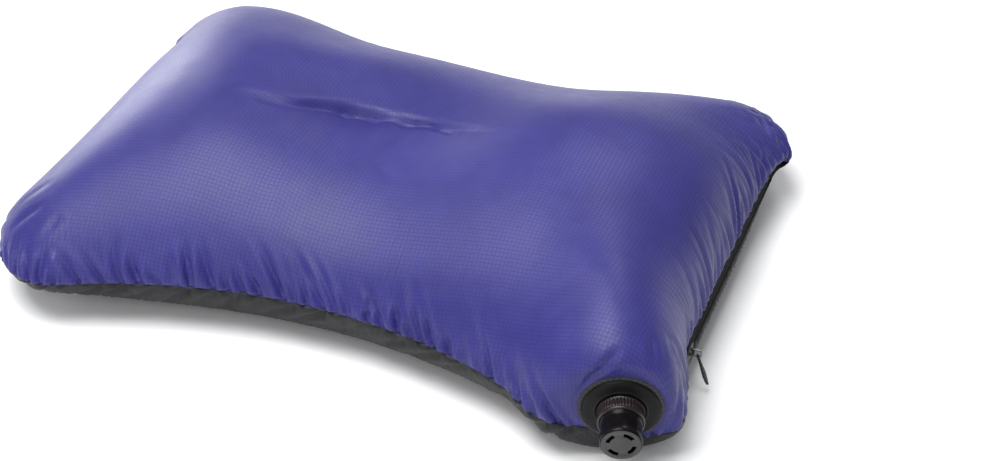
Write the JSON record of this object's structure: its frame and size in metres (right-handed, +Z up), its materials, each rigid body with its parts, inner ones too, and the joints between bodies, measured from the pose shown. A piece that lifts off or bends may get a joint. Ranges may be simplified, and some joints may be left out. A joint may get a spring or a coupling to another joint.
{
  "type": "inflatable camp pillow",
  "caption": "Inflatable camp pillow: zipped ripstop cover with thin fill, air bladder with a centre tie, and a twist valve in one front corner.",
  "frame": {"origin": "on the flat underside, under the middle of the pillow", "axes": "+X along the pillow's length towards the zipped side, +Y to the back, +Z up; the valve is in the +X -Y corner"},
  "size_m": [0.375, 0.3007, 0.0925],
  "materials": {
    "blue_ripstop": "light calendered mini-ripstop nylon, soft sheen",
    "charcoal_ripstop": "matte charcoal polyester",
    "fill": "loose synthetic fill",
    "bladder_film": "coated nylon film, satin",
    "black_tape": "woven black tape, matte",
    "black_plastic": "moulded matte plastic",
    "black_gloss_plastic": "moulded plastic, soft gloss",
    "valve_rubber": "silicone rubber",
    "zip_nylon": "nylon coil",
    "zip_metal": "plated zinc, slightly dulled",
    "pull_tab": "soft moulded tab"
  },
  "bodies": {
    "pillow": {"top_cover": "blue_ripstop", "bottom_cover": "charcoal_ripstop", "fill_batting": "fill", "batting_lining": "charcoal_ripstop", "bladder_upper_film": "bladder_film", "bladder_lower_film": "bladder_film", "bladder_tie_strip": "bladder_film", "valve_patch": "black_tape", "valve_flange": "black_plastic", "valve_base_flange": "black_plastic", "valve_neck": "black_plastic", "valve_o_ring": "valve_rubber", "zip_tape_upper": "black_tape", "zip_tape_lower": "black_tape", "zip_coil_upper": "zip_nylon", "zip_coil_lower": "zip_nylon", "zip_top_stop": "zip_metal", "zip_bottom_stop": "zip_metal"},
    "valve_seal": {"valve_seal_disc": "valve_rubber"},
    "valve_cap": {"valve_mouthpiece": "black_gloss_plastic", "valve_knurled_ring": "black_gloss_plastic"},
    "zip_slider": {"zip_slider_body": "zip_metal"},
    "zip_bail": {"zip_bail": "zip_metal"},
    "zip_pull": {"zip_pull_tab": "pull_tab"}
  },
  "joints": [
    {"name": "cap_lift", "type": "slide", "parent": "pillow", "child": "valve_seal", "axis": [0.3078, -0.9474, -0.0872], "range_m": [0, 0.0045]},
    {"name": "cap_turn", "type": "hinge", "parent": "valve_seal", "child": "valve_cap", "pos_m": [0.1635, -0.1338, 0.033], "axis": [0.3078, -0.9474, -0.0872], "range_deg": [0, 360]},
    {"name": "zip_travel", "type": "slide", "parent": "pillow", "child": "zip_slider", "axis": [0, 1, 0], "range_m": [0, 0.15]},
    {"name": "bail_swing", "type": "hinge", "parent": "zip_slider", "child": "zip_bail", "pos_m": [0.18075, -0.071, 0.023], "axis": [0, 0, 1], "range_deg": [-30, 30]},
    {"name": "pull_swing", "type": "hinge", "parent": "zip_bail", "child": "zip_pull", "pos_m": [0.18385, -0.071, 0.02105], "axis": [1, 0, 0], "range_deg": [-35, 35]}
  ],
  "couplings": [
    {"joint": "cap_turn", "follows": "cap_lift", "rad_per_m": 1396.2}
  ]
}
